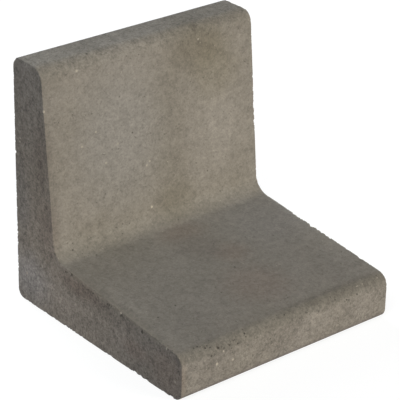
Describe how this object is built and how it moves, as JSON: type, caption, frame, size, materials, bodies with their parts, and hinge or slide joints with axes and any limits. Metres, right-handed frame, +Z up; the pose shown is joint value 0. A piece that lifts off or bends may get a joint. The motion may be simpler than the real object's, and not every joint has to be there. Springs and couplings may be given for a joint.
{
  "type": "l-shaped concrete block",
  "caption": "L-shaped precast concrete retaining block with a tapered upright wall, a tapered foot, rounded long edges and a filleted inner corner.",
  "frame": {"origin": "centre of the block's footprint, on the underside of the foot", "axes": "+X along the wall, +Y out of the wall's outer face (the foot's nose points to -Y), +Z up the wall"},
  "size_m": [0.4, 0.4, 0.4],
  "materials": {
    "concrete": "as cast from the mould, matt and fine-grained, with pinholes and soft stains"
  },
  "bodies": {
    "root": {"l_block": "concrete"}
  },
  "joints": []
}
